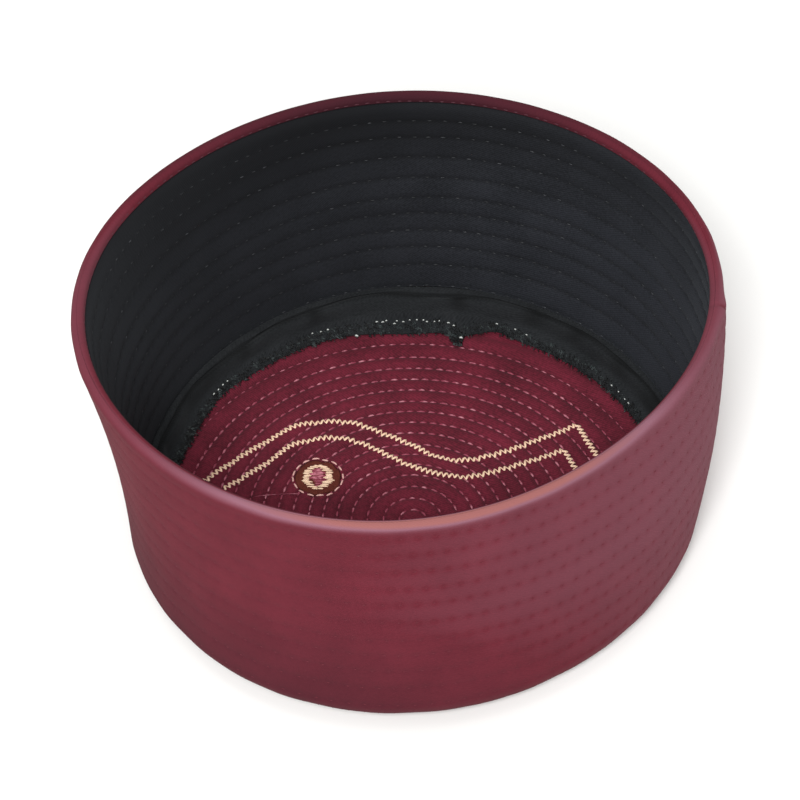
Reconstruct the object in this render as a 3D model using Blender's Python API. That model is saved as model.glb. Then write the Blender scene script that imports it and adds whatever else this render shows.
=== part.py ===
"""Kufi: a round quilted cap, lying on its crown with the mouth up.

The cap is first drawn as a plain round one. A point is given by its bearing round the cap, its run
along the outside from the flat of the crown up to the rim, and its depth in from that outside.
One function then eases the round cap onto the real oval form, which leans and bellies a little.
"""
import math

import bmesh
import bpy
from mathutils import Matrix, Vector

MM = 0.001

# Form of the outside, in millimetres. An outline is a circle with a centre and a few swells, each
# given by its waves round the cap and its cosine and sine share of the radius: two waves stretch the
# circle to an oval, three pull it to a soft triangle, four square it a little.
RIM = {"x": -1.55, "y": 0.52, "radius": 94.5,
       "swells": ((2, 0.0034, 0.0418), (3, 0.0048, 0.0032), (4, 0.0053, 0.0007))}
FOOT = {"x": 3.68, "y": -3.52, "radius": 89.25, "swells": ((2, -0.010, 0.026), (3, 0.009, 0.0))}
FLAT = {"x": 5.68, "y": -8.02, "radius": 69.4, "swells": ()}
FOOT_HEIGHT = 12.1
RIM_HEIGHT = 88.23
RIM_LEAN = (1.2, 1.76)
RIM_SAG = (0.59, 0.69)
BELLY_X = 2.33

# Cloth, in millimetres
WALL = 2.4
CROWN = 2.9
LINING = 1.35
FACING = 1.5
GAP = 0.3
FACING_DROP = 2.9
HEM_ROUND = 0.5
ROLL = 4.2
ROLL_EDGE = 0.7

# The side band and the turned-in edge share one half-round crest
CREST = (WALL + GAP + FACING) / 2

# Quilting, in millimetres. Rows run level round the side band, rings run round the crown.
ROWS = 10
FIRST_ROW = 12.2
ROW_PITCH = 7.27
ROW_DENT = 0.5
LINING_DENT = 0.3
RINGS = 15
FIRST_RING = 4.2
RING_PITCH = 4.88
RING_DENT = 0.45
RING_CENTRE = (3.48, -11.92)

# Runs along the outside: -1 at the edge of the crown's flat, 0 at the foot, 1 at the rim.
SEAM_RUN = -0.58
SEAM_GAP_RUN = 0.014
ROLL_LOW_RUN = -0.72
ROLL_HIGH_RUN = -0.085
LINING_LOW_RUN = -0.06
FOOT_RUNS = (-0.38, -0.2)
SIDE_RUNS = (0.0, 0.33, 0.66)
ROLL_STEPS = 5

# The plain round cap that is eased onto the real form, in millimetres
SEGMENTS = 48
ROUND_RADIUS = 100.0
ROUND_RISE = 80.0
NORMAL_STEP = 0.004

# Colours in linear light, and roughness
MAROON = ((0.195, 0.045, 0.062), 0.8)
MAROON_FOLD = ((0.21, 0.05, 0.07), 0.8)
MAROON_CROWN = ((0.17, 0.022, 0.045), 0.8)
BLACK = ((0.012, 0.013, 0.015), 0.9)
BLACK_EDGE = ((0.01, 0.01, 0.012), 0.95)

SIDE_HEIGHT = RIM_HEIGHT - FOOT_HEIGHT
LAST_RING = FIRST_RING + (RINGS - 1) * RING_PITCH


def outline(shape, bearing):
    """Point of an outline at a bearing."""
    radius = shape["radius"]
    for waves, along, across in shape["swells"]:
        swell = along * math.cos(waves * bearing) + across * math.sin(waves * bearing)
        radius += shape["radius"] * swell
    return Vector((shape["x"] + radius * math.cos(bearing), shape["y"] + radius * math.sin(bearing), 0))


def rim_top(bearing):
    """Height of the rim, which leans a little and sags on one diagonal."""
    lean = RIM_LEAN[0] * math.cos(bearing) + RIM_LEAN[1] * math.sin(bearing)
    sag = RIM_SAG[0] * math.cos(2 * bearing) + RIM_SAG[1] * math.sin(2 * bearing)
    return RIM_HEIGHT - lean + sag


def outside(bearing, run):
    """Point on the outside of the cap: the rounded foot below run 0, the side above it."""
    foot = outline(FOOT, bearing)
    if run < 0:
        turn = (1 + run) * math.pi / 2
        flat = outline(FLAT, bearing)
        place = flat + (foot - flat) * math.sin(turn)
        place.z = FOOT_HEIGHT * (1 - math.cos(turn))
        return place
    rim = outline(RIM, bearing)
    place = foot.lerp(rim, run)
    belly = 4 * run * (1 - run) * BELLY_X * math.cos(bearing)
    place += belly * Vector((math.cos(bearing), math.sin(bearing), 0))
    place.z = FOOT_HEIGHT + (rim_top(bearing) - FOOT_HEIGHT) * run
    return place


def shell(bearing, run, depth):
    """Point at a depth in from the outside, square to the cloth."""
    place = outside(bearing, run)
    ahead = outside(bearing, min(run + NORMAL_STEP, 1))
    along = ahead - outside(bearing, max(run - NORMAL_STEP, -1))
    out = Vector((math.cos(bearing), math.sin(bearing), 0))
    flat_part = along.dot(out)
    inward = Vector((-out.x * along.z, -out.y * along.z, flat_part)).normalized()
    return place + inward * depth


def row_run(row):
    """Run of a quilting row on the side band."""
    return (FIRST_ROW + row * ROW_PITCH - FOOT_HEIGHT) / SIDE_HEIGHT


def quilted_side(low_run, high_run, depth, dent):
    """Profile of a quilted face from low_run to high_run: a dent at each row, full cloth between."""
    half = row_run(0.5) - row_run(0)
    points = [(low_run, depth)]
    for row in range(ROWS):
        points.append((row_run(row), depth + dent))
        points.append((row_run(row) + half, depth))
    kept = [point for point in points if low_run <= point[0] < high_run - half / 2]
    return kept + [(high_run, depth)]


def spin_round(profile, closed):
    """Turn a profile of (radius, height) points once round the upright axis."""
    work = bmesh.new()
    chain = [work.verts.new((radius, 0, height)) for radius, height in profile]
    pairs = list(zip(chain, chain[1:]))
    if closed:
        pairs.append((chain[-1], chain[0]))
    edges = [work.edges.new(pair) for pair in pairs]
    bmesh.ops.spin(work, geom=chain + edges, axis=(0, 0, 1), angle=math.tau,
                   steps=SEGMENTS, use_merge=True)
    bmesh.ops.remove_doubles(work, verts=work.verts, dist=0.01)
    return work


def finish(work, name, look):
    """Make the object: faces out, millimetres to metres, smooth shading, one material."""
    colour, roughness = look
    bmesh.ops.recalc_face_normals(work, faces=work.faces)
    if work.calc_volume(signed=True) < 0:
        bmesh.ops.reverse_faces(work, faces=work.faces)
    bmesh.ops.transform(work, matrix=Matrix.Scale(MM, 4), verts=work.verts)
    mesh = bpy.data.meshes.new(name)
    work.to_mesh(mesh)
    work.free()
    mesh.shade_smooth()
    mesh.set_sharp_from_angle(angle=math.radians(60))
    material = bpy.data.materials.new(name)
    material.use_nodes = True
    shader = material.node_tree.nodes["Principled BSDF"]
    shader.inputs["Base Color"].default_value = (*colour, 1)
    shader.inputs["Roughness"].default_value = roughness
    mesh.materials.append(material)
    item = bpy.data.objects.new(name, mesh)
    bpy.context.scene.collection.objects.link(item)


def band(name, profile, look):
    """A closed band of cloth round the cap, from a profile of (run, depth) points."""
    plain = [(ROUND_RADIUS - depth, run * ROUND_RISE) for run, depth in profile]
    work = spin_round(plain, closed=True)
    for vert in work.verts:
        bearing = math.atan2(vert.co.y, vert.co.x)
        depth = ROUND_RADIUS - math.hypot(vert.co.x, vert.co.y)
        vert.co = shell(bearing, vert.co.z / ROUND_RISE, depth)
    finish(work, name, look)


def crest_point(turn):
    """Run and depth on the crest's half round: 0 degrees outside, 90 on top, 180 inside."""
    angle = math.radians(turn)
    return 1 - CREST * (1 - math.sin(angle)) / SIDE_HEIGHT, CREST * (1 - math.cos(angle))


def crest_run(depth):
    """Run of the crest's half round at a depth."""
    return crest_point(math.degrees(math.acos(1 - depth / CREST)))[0]


def outer_wall():
    """The quilted side band: dented outside, round crest, plain inside, turned under at the foot."""
    low = SEAM_RUN + SEAM_GAP_RUN
    foot = [(run, 0) for run in (low, *FOOT_RUNS)]
    side = quilted_side(-0.05, crest_point(0)[0], 0, ROW_DENT)
    top = [crest_point(turn) for turn in (30, 60, 90)] + [(crest_run(WALL), WALL)]
    inner = [(run, WALL) for run in (low, *FOOT_RUNS, *SIDE_RUNS)]
    band("outer_wall", foot + side + top + inner[::-1], MAROON)


def rim_facing():
    """The turned-in edge: a soft band inside the rim, up to the crest's inner half."""
    low = 1 - FACING_DROP / SIDE_HEIGHT
    near = WALL + GAP
    far = near + FACING
    back = [(low, near), (crest_run(near), near)]
    fold = [crest_point(turn) for turn in (120, 150, 180)]
    hem = [(low + HEM_ROUND / SIDE_HEIGHT, far), (low, far - HEM_ROUND)]
    band("rim_facing", back + fold + hem, MAROON_FOLD)


def wall_lining():
    """The black lining: quilted on the face that shows, plain on the face against the side band."""
    near = WALL + GAP
    far = near + LINING
    high = 1 - (FACING_DROP + GAP) / SIDE_HEIGHT
    back = [(run, near) for run in (LINING_LOW_RUN, *SIDE_RUNS[1:], high)]
    face = quilted_side(LINING_LOW_RUN, high, far, -LINING_DENT)
    band("wall_lining", back + face[::-1], BLACK)


def seam_allowance():
    """The overlocked edge: a soft lens of cloth lying in the corner over the crown seam."""
    near = CROWN + GAP
    back = []
    face = []
    for step in range(ROLL_STEPS + 1):
        share = step / ROLL_STEPS
        run = ROLL_LOW_RUN + (ROLL_HIGH_RUN - ROLL_LOW_RUN) * share
        swell = ROLL_EDGE + (ROLL - ROLL_EDGE) * math.sin(math.pi * share)
        back.append((run, near))
        face.append((run, near + swell))
    band("seam_allowance", back + face[::-1], BLACK_EDGE)


def crown_place(bearing, radius, depth):
    """Point of the crown: true rings about the quilting's centre, eased to the seam at the edge."""
    share = max(0.0, (radius - LAST_RING) / (ROUND_RADIUS - LAST_RING))
    edge = outside(bearing, SEAM_RUN)
    ray = Vector((math.cos(bearing), math.sin(bearing), 0))
    place = Vector((*RING_CENTRE, 0)) + ray * min(radius, LAST_RING)
    place = place.lerp(Vector((edge.x, edge.y, 0)), share)
    from_flat = Vector((place.x - FLAT["x"], place.y - FLAT["y"], 0))
    turned = math.atan2(from_flat.y, from_flat.x)
    reach = (outline(FOOT, turned) - outline(FLAT, turned)).length
    beyond = max(0.0, from_flat.length - FLAT["radius"]) / reach
    place.z = FOOT_HEIGHT * (1 - math.sqrt(1 - beyond * beyond))
    up = Vector((0, 0, 1)).lerp(shell(bearing, SEAM_RUN, 1) - edge, share)
    return place + up.normalized() * depth


def crown():
    """The quilted disc: a dent at each ring on the inside, flat to rest on outside."""
    top = [(0, CROWN)]
    for ring in range(RINGS):
        radius = FIRST_RING + ring * RING_PITCH
        top.append((radius, CROWN - RING_DENT))
        top.append((radius + RING_PITCH / 2, CROWN))
    margin = ROUND_RADIUS - LAST_RING
    top = top[:-1] + [(LAST_RING + margin / 2, CROWN), (ROUND_RADIUS, CROWN)]
    turned_up = [LAST_RING + margin * share for share in (1, 0.6, 0.2)]
    flat = [LAST_RING - RING_PITCH * rings for rings in (1, 3, 7, 11)]
    profile = top + [(radius, 0) for radius in (*turned_up, *flat, 0)]
    work = spin_round(profile, closed=False)
    for vert in work.verts:
        bearing = math.atan2(vert.co.y, vert.co.x)
        vert.co = crown_place(bearing, math.hypot(vert.co.x, vert.co.y), vert.co.z)
    finish(work, "crown", MAROON_CROWN)


for old in list(bpy.data.objects):
    bpy.data.objects.remove(old, do_unlink=True)
outer_wall()
rim_facing()
wall_lining()
seam_allowance()
crown()
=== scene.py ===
# %% [markdown]
# # A quilted kufi, lying on its crown
# The cap is four pads of cloth: a maroon side band, its black lining, a maroon crown disc and a
# turned-in rim. The imported model gives their true places. This script gives them their cloth, their
# quilting, their threads and their light.
#
# We load the model first.

import math

import bmesh
import bpy
import numpy as np
from mathutils import Matrix, Vector


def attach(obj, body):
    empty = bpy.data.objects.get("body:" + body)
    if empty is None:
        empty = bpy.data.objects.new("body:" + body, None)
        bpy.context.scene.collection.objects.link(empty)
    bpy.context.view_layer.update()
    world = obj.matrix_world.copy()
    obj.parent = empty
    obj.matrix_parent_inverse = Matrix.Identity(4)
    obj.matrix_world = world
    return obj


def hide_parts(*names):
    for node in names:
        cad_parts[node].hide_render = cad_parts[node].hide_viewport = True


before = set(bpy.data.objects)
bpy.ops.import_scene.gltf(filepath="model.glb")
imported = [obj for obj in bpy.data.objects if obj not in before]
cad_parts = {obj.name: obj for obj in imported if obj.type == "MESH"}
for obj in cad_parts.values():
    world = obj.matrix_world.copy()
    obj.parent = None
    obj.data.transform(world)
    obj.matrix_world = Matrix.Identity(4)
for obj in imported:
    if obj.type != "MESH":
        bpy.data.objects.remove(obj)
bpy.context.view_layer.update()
MM = 0.001
print("nodes", list(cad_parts))

# %% [markdown]
# # The camera
# The photograph looks down at the cap from about 46 degrees, from just under a metre away, with a long
# lens. A long lens keeps the near and the far side of the rim at nearly the same scale. We could place
# the camera by eye, but a fit of the rim's outline gives the distance, the height and the lens at once.

# %% Camera
SENSOR = 36.0
LENS = 142.98
CAMERA_DISTANCE = 961.2
CAMERA_RISE = math.radians(45.57)
CAMERA_AIM = Vector((-0.51, -0.82, 43.63))

back = Vector((0, -math.cos(CAMERA_RISE), math.sin(CAMERA_RISE)))
camera_data = bpy.data.cameras.new("camera")
camera_data.lens = LENS
camera_data.sensor_width = SENSOR
camera_data.clip_start = 0.01
camera = bpy.data.objects.new("camera", camera_data)
camera.location = (CAMERA_AIM + back * CAMERA_DISTANCE) * MM
camera.rotation_euler = back.to_track_quat("Z", "Y").to_euler()
bpy.context.scene.collection.objects.link(camera)
bpy.context.scene.camera = camera
print("camera at", tuple(round(x, 3) for x in camera.location))

# %% [markdown]
# # Colours and nodes
# We give every colour as the sRGB hex value that we would read in a picture, and one function turns it
# into the linear values that Blender needs. A second one adds a shader node, sets its properties and
# fills or links its inputs, so a material stays a short list of steps.

# %% Colour and node helpers
def srgb(code):
    """Linear colour of an sRGB hex value."""
    parts = [int(code[i:i + 2], 16) / 255 for i in (1, 3, 5)]
    return [p / 12.92 if p <= 0.04045 else ((p + 0.055) / 1.055) ** 2.4 for p in parts] + [1.0]


def add(tree, kind, inputs=None, **settings):
    """Add a node, set its properties, and fill or link its inputs."""
    item = tree.nodes.new(kind)
    for key, value in settings.items():
        setattr(item, key, value)
    for key, value in (inputs or {}).items():
        if isinstance(value, bpy.types.NodeSocket):
            tree.links.new(value, item.inputs[key])
        else:
            item.inputs[key].default_value = value
    return item


def new_material(name, inputs):
    """A material whose Principled BSDF has these inputs; returns it with its tree and shader."""
    material = bpy.data.materials.new(name)
    material.use_nodes = True
    tree = material.node_tree
    shader = tree.nodes["Principled BSDF"]
    for key, value in inputs.items():
        shader.inputs[key].default_value = value
    return material, tree, shader

# %% [markdown]
# # Studio
# The photograph is lit softly from the camera's side: the wall has no strong shadow, and its pillows show
# only because each turns a little from the light. So the key light stands above the camera in front, a
# wide weak one hangs overhead for the inside, and two low ones lift the left and right edges. A white sky
# fills the rest. One lamp alone would leave the lining without form. The floor is matt white paper, lit
# until it is just white, and it throws light back up at the band.

# %% Floor and lights
FLOOR_HALF = 1.6
LIGHTS = {
    "key": {"place": (-0.12, -0.93, 1.0), "size": 0.36, "power": 20.5},
    "top": {"place": (-0.1, 0.1, 0.9), "size": 0.7, "power": 2.6},
    "right": {"place": (0.65, 0.3, 0.13), "size": 0.3, "power": 2.1},
    "left": {"place": (-0.7, -0.1, 0.2), "size": 0.3, "power": 1.1},
}
SKY = 0.46


def area_light(name, place, size, power):
    """A square soft light at place (metres) that faces the cap."""
    data = bpy.data.lights.new(name, "AREA")
    data.size = size
    data.energy = power
    item = bpy.data.objects.new(name, data)
    item.location = place
    item.rotation_euler = Vector(place).to_track_quat("Z", "Y").to_euler()
    bpy.context.scene.collection.objects.link(item)


floor_work = bmesh.new()
bmesh.ops.create_grid(floor_work, x_segments=1, y_segments=1, size=FLOOR_HALF)
floor_mesh = bpy.data.meshes.new("floor")
floor_work.to_mesh(floor_mesh)
floor_work.free()
floor = bpy.data.objects.new("floor", floor_mesh)
bpy.context.scene.collection.objects.link(floor)
floor_mesh.materials.append(new_material("matt white paper", {"Base Color": srgb("#E8E8E6"),
                                                              "Roughness": 0.9})[0])

world = bpy.data.worlds.new("studio")
world.use_nodes = True
world.node_tree.nodes["Background"].inputs["Color"].default_value = srgb("#FFFFFF")
world.node_tree.nodes["Background"].inputs["Strength"].default_value = SKY
bpy.context.scene.world = world
for name, facts in LIGHTS.items():
    area_light(name, **facts)
bpy.context.scene.view_settings.view_transform = "Standard"
print("lights", list(LIGHTS), "and a sky of", SKY)

# %% [markdown]
# # The form of the cap
# The real cap is a soft oval that leans a little. Its form is three outlines, the flat of the crown, the
# foot and the rim, with a rounded corner and a straight side between them. A point on the cloth is given
# by its bearing round the cap, its run up the outside and its depth in from the outside. So every piece
# can start as a plain grid wrapped round once, and then be eased onto the real form by one formula.
# Lengths are in millimetres, and they turn to metres only when a mesh or a camera takes them.

# %% Form
RIM = {"x": -1.55, "y": 0.52, "radius": 94.5,
       "swells": ((2, 0.0034, 0.0418), (3, 0.0048, 0.0032), (4, 0.0053, 0.0007))}
FOOT = {"x": 3.68, "y": -3.52, "radius": 89.25, "swells": ((2, -0.010, 0.026), (3, 0.009, 0.0))}
FLAT = {"x": 5.68, "y": -8.02, "radius": 69.4, "swells": ()}
FOOT_HEIGHT = 12.1
RIM_HEIGHT = 88.23
RIM_LEAN = (1.2, 1.76)
RIM_SAG = (0.59, 0.69)
BELLY_X = 2.33
SIDE_HEIGHT = RIM_HEIGHT - FOOT_HEIGHT
CORNER_LENGTH = 24.0
print("girth at the rim", round(math.tau * RIM["radius"]), "mm, side", round(SIDE_HEIGHT, 1), "mm")

# %% [markdown]
# A few small helpers say once what the formulas need again and again: directions, a value kept between
# 0 and 1, a turn the short way round, and a soft bell that fades to both sides of a line.

# %% Small helpers
def ray(bearing):
    """Level directions out from the middle at bearings."""
    return np.stack([np.cos(bearing), np.sin(bearing)], -1)


def unit(arrows):
    """Directions with length 1."""
    return arrows / np.linalg.norm(arrows, axis=-1, keepdims=True)


def clipped(value):
    """A value kept between 0 and 1."""
    return np.clip(value, 0, 1)


def turned_from(bearing, middle):
    """How far bearings are turned from a middle one, the short way round."""
    return np.angle(np.exp(1j * (bearing - middle)))


def bell(off, half_width):
    """1 where off is 0, fading to both sides over half_width."""
    return np.exp(-(off / half_width) ** 2)

# %% [markdown]
# The outside is one surface: below run 0 the rounded foot, above it the side. Depth is measured square to
# it, so a pad keeps its thickness round the foot.

# %% The cap's surface
def outline(shape, bearing):
    """Points of an outline at bearings, as an array of x and y."""
    radius = shape["radius"] + 0 * bearing
    for waves, along, across in shape["swells"]:
        swell = along * np.cos(waves * bearing) + across * np.sin(waves * bearing)
        radius = radius + shape["radius"] * swell
    return np.array((shape["x"], shape["y"])) + ray(bearing) * radius[..., None]


def rim_top(bearing):
    """Height of the rim, which leans a little and sags on one diagonal."""
    lean = RIM_LEAN[0] * np.cos(bearing) + RIM_LEAN[1] * np.sin(bearing)
    sag = RIM_SAG[0] * np.cos(2 * bearing) + RIM_SAG[1] * np.sin(2 * bearing)
    return RIM_HEIGHT - lean + sag


def outside(bearing, run):
    """Points on the outside: the rounded foot below run 0, the side above it."""
    foot, rim, flat = (outline(shape, bearing) for shape in (FOOT, RIM, FLAT))
    turn = (1 + np.minimum(run, 0)) * math.pi / 2
    side = np.maximum(run, 0)
    belly = (4 * side * (1 - side) * BELLY_X * np.cos(bearing))[..., None] * ray(bearing)
    corner = flat + (foot - flat) * np.sin(turn)[..., None]
    wall = foot + (rim - foot) * side[..., None] + belly
    place = np.where((run < 0)[..., None], corner, wall)
    low = FOOT_HEIGHT * (1 - np.cos(turn))
    height = np.where(run < 0, low, FOOT_HEIGHT + (rim_top(bearing) - FOOT_HEIGHT) * side)
    return np.concatenate([place, height[..., None]], -1)


def inward(bearing, run):
    """Directions into the cap, square to the cloth."""
    step = 0.004
    along = outside(bearing, np.minimum(run + step, 1)) - outside(bearing, run - step)
    out = ray(bearing)
    level = (along[..., :2] * out).sum(-1)
    return unit(np.stack([-out[..., 0] * along[..., 2], -out[..., 1] * along[..., 2], level], -1))


def shell(bearing, run, depth):
    """Points at depths in from the outside."""
    return outside(bearing, run) + inward(bearing, run) * depth[..., None]


def to_run(climb):
    """Run up the outside for a climb in millimetres, which is 0 at the foot."""
    return np.where(climb > 0, climb / SIDE_HEIGHT, climb / CORNER_LENGTH)

# %% [markdown]
# # Wrapping a grid
# A band's profile is a closed chain of (climb, depth) points. One flat grid, wrapped round the upright
# axis and closed on itself, becomes the whole band: its columns are steps round the cap and its rows are
# points of the profile. Turning the profile step by step with the spin tool gives the same mesh but takes
# a hundred times as long. The flat grid also gives the cloth coordinates: millimetres round and up. One
# more value goes with each point, its painted light and shade: below 0 painted shade, where the cloth
# dips or turns from the light, above 0 a painted sheen, and above 1 a warm pale painted highlight.

# %% Mesh helpers
def read_points(mesh):
    """A mesh's points as an array."""
    flat = np.empty(len(mesh.vertices) * 3)
    mesh.vertices.foreach_get("co", flat)
    return flat.reshape(-1, 3)


def finish_mesh(mesh):
    """Weld the grid's meeting edges, turn all faces outward and smooth the shading."""
    work = bmesh.new()
    work.from_mesh(mesh)
    bmesh.ops.remove_doubles(work, verts=work.verts, dist=0.002 * MM)
    bmesh.ops.recalc_face_normals(work, faces=work.faces)
    if work.calc_volume(signed=True) < 0:
        bmesh.ops.reverse_faces(work, faces=work.faces)
    work.to_mesh(mesh)
    work.free()
    mesh.shade_smooth()


def wrap_grid(name, profile, steps, place_points):
    """Wrap a grid once round; place_points gives the points, their cloth coordinates and their painted light
    and shade.
    """
    work = bmesh.new()
    rows = len(profile) - 1
    bmesh.ops.create_grid(work, x_segments=steps, y_segments=rows, size=1)
    mesh = bpy.data.meshes.new(name)
    work.to_mesh(mesh)
    work.free()
    flat = read_points(mesh)
    row = np.rint((flat[:, 1] + 1) / 2 * rows).astype(int)
    chain = np.array(profile, dtype=float)[row]
    points, cloth_u, cloth_v, wear_and_painted_light = place_points(flat[:, 0] * math.pi, chain[:, 0], chain[:, 1])
    mesh.vertices.foreach_set("co", (points * MM).ravel())
    mesh.attributes.new("wear_and_painted_light", "FLOAT", "POINT").data.foreach_set("value", wear_and_painted_light)
    corner = np.empty(len(mesh.loops), dtype=int)
    mesh.loops.foreach_get("vertex_index", corner)
    layer = mesh.uv_layers.new(name="cloth")
    layer.data.foreach_set("uv", np.stack([cloth_u[corner], cloth_v[corner]], -1).ravel())
    finish_mesh(mesh)
    return mesh


def add_piece(name, mesh, look, node=None):
    """Make the object of a finished mesh, and hide the CAD node that it stands for."""
    mesh.materials.clear()
    mesh.materials.append(look)
    item = bpy.data.objects.new(name, mesh)
    bpy.context.scene.collection.objects.link(item)
    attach(item, "root")
    if node:
        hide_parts(node)
    print(name, len(mesh.polygons), "faces")
    return item

# %% [markdown]
# # Cloth
# The outer cloth is a dyed cotton twill: matt, with a faint diagonal grain and a mottled, slightly uneven
# dye. The real grain is about 0.35 mm apart, too fine for a picture at this distance, so it is drawn at
# 0.7 mm. Grain and slubs are bumps, since they are far finer than the mesh. Three more tones follow the
# painted light value: painted shade where the cloth dips at a stitch or turns from the light, a dusty mauve
# painted sheen, and a warm pale painted highlight on the crest. Cotton has no gloss, so its shine is low
# and a weak sheen lifts the nap at grazing angles. The same cloth goes on to the rim fold.

# %% Cloth materials
GRAIN_PITCH = 0.7
GRAIN_SLOPE = math.radians(58)
GRAIN_RELIEF = 0.12
GRAIN_TONE = 0.12
SLUB_SCALE = 1.1
DYE_SCALE = 0.07


def cloth(name, colours, grain, mottle, gloss, sheen, sheen_tint):
    """Woven cloth on the piece's own cloth coordinates, in millimetres, with painted light and shade from
    its attribute.
    """
    light, dark, painted_shade, painted_sheen, painted_highlight = (srgb(code) for code in colours)
    look, tree, shader = new_material(name, {
        "Roughness": 0.88, "Sheen Weight": sheen, "Sheen Roughness": 0.5,
        "Sheen Tint": srgb(sheen_tint), "Specular IOR Level": gloss})
    place = add(tree, "ShaderNodeUVMap", uv_map="cloth").outputs[0]
    along = (math.cos(GRAIN_SLOPE) / GRAIN_PITCH, math.sin(GRAIN_SLOPE) / GRAIN_PITCH, 0)
    line = add(tree, "ShaderNodeVectorMath", {0: place, 1: along}, operation="DOT_PRODUCT")
    turn = add(tree, "ShaderNodeMath", {0: line.outputs["Value"], 1: math.tau}, operation="MULTIPLY")
    rib = add(tree, "ShaderNodeMath", {0: turn.outputs[0]}, operation="SINE").outputs[0]
    slub = add(tree, "ShaderNodeTexNoise", {"Vector": place, "Scale": SLUB_SCALE, "Detail": 3.0}).outputs[0]
    tone = add(tree, "ShaderNodeTexNoise", {"Vector": place, "Scale": DYE_SCALE, "Detail": 4.0}).outputs[0]
    uneven = add(tree, "ShaderNodeMath", {0: slub, 1: mottle, 2: tone}, operation="MULTIPLY_ADD").outputs[0]
    shade = add(tree, "ShaderNodeMath", {0: rib, 1: GRAIN_TONE * grain, 2: uneven},
                operation="MULTIPLY_ADD")
    share = add(tree, "ShaderNodeMapRange", {"Value": shade.outputs[0], "From Min": 0.15 + 0.5 * mottle,
                                             "From Max": 0.85 + 0.5 * mottle}).outputs[0]
    weave = add(tree, "ShaderNodeMix", {"Factor": share, 6: dark, 7: light}, data_type="RGBA")
    # The attribute holds painted light and shade: below 0 it mixes in the painted shade colour, from 0 to 1
    # the painted sheen, from 1 to 2 the painted highlight.
    wear_and_painted_light = add(tree, "ShaderNodeAttribute", attribute_name="wear_and_painted_light").outputs["Fac"]
    down = add(tree, "ShaderNodeMapRange", {"Value": wear_and_painted_light, "From Min": 0, "From Max": -1}).outputs[0]
    deep = add(tree, "ShaderNodeMix", {"Factor": down, 6: weave.outputs[2], 7: painted_shade}, data_type="RGBA")
    up = add(tree, "ShaderNodeMapRange", {"Value": wear_and_painted_light}).outputs[0]
    pale = add(tree, "ShaderNodeMix", {"Factor": up, 6: deep.outputs[2], 7: painted_sheen}, data_type="RGBA")
    far_up = add(tree, "ShaderNodeMapRange", {"Value": wear_and_painted_light, "From Min": 1, "From Max": 2}).outputs[0]
    mix = add(tree, "ShaderNodeMix", {"Factor": far_up, 6: pale.outputs[2], 7: painted_highlight}, data_type="RGBA")
    height = add(tree, "ShaderNodeMath", {0: rib, 1: 0.4, 2: slub}, operation="MULTIPLY_ADD")
    bump = add(tree, "ShaderNodeBump", {"Height": height.outputs[0], "Strength": 0.6 * grain,
                                        "Distance": GRAIN_RELIEF * MM})
    tree.links.new(mix.outputs[2], shader.inputs["Base Color"])
    tree.links.new(bump.outputs["Normal"], shader.inputs["Normal"])
    return look


# The outer cloth is dull and dusty from wear, so its grain is faint and it has almost no gloss.
# Its last three colours are painted shade, a painted sheen and a painted highlight.
outer_twill = cloth("maroon cotton twill, outer", ("#61222D", "#531C26", "#30171E", "#7A525E", "#865452"),
                    grain=0.5, mottle=0.8, gloss=0.07, sheen=0.03, sheen_tint="#D8B4B4")
# The crown was never handled: its dye is deeper and its grain is still crisp.
# Its third colour is painted shade along the rings.
crown_twill = cloth("maroon cotton twill, crown", ("#6A1D2E", "#400E19", "#2A0A12", "#855356", "#855356"),
                    grain=1.15, mottle=1.0, gloss=0.2, sheen=0.1, sheen_tint="#C09098")
# The black cloths are slate rather than black, uneven from lint, with a cool nap where they turn away.
# Its third colour is painted shade and its fourth painted light on the lining's right side.
black_twill = cloth("black cotton twill, lining", ("#24262B", "#15171B", "#0C0D10", "#2A2D34", "#2A2D34"),
                    grain=1.1, mottle=1.6, gloss=0.2, sheen=0.1, sheen_tint="#9098A0")
# Its third colour is painted shade in the roll's creases and fold line.
black_edge = cloth("black cotton, seam allowance", ("#212325", "#111315", "#08090A", "#34373A", "#34373A"),
                   grain=1.1, mottle=1.4, gloss=0.2, sheen=0.15, sheen_tint="#888C90")
print("cloths", [look.name for look in (outer_twill, crown_twill, black_twill, black_edge)])

# %% [markdown]
# # Quilting
# Running stitches pull the pad in along level rows, about 7 mm apart on the side. Under each thread the
# cloth is drawn down hard, and between two threads it springs back, so a row is a string of small
# dimples and the cloth between two rows is a low ridge. A machine's feed is never perfect: rows stray a
# few tenths of a millimetre, and two neighbours can be a millimetre nearer than the next two.

# %% Quilting relief
ROW_PITCH = 7.27
FIRST_CLIMB = 0.1
OUTER_SHIFTS = (0.0, 0.4, 0.7, 0.5, -0.3, 0.0, 0.4, -0.5, -0.7, -0.9)
LINING_SHIFTS = (-0.6, 0.7, 0.9, 0.4, 0.0, -0.9, -0.1, 0.8, 1.3, 0.4)
STITCHES_ROUND = 120
FACE_OFFSETS = (-3.0, -1.9, -1.1, -0.5, 0.0, 0.5, 1.1, 1.9, 3.0)
STRAY = 0.22
PAD_REACH = 2.6
PAD_SHARE = 0.25


def ripple(bearing, lean, waves, seed):
    """Smooth lasting unevenness, about -1 to 1: a few waves round the cap that lean with height."""
    draw = np.random.default_rng(seed)
    total = 0 * bearing
    for wave in waves:
        phase, slope = draw.uniform(0, math.tau), draw.uniform(-0.06, 0.06)
        total = total + np.sin(wave * bearing + phase + slope * lean)
    return total / len(waves)


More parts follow.
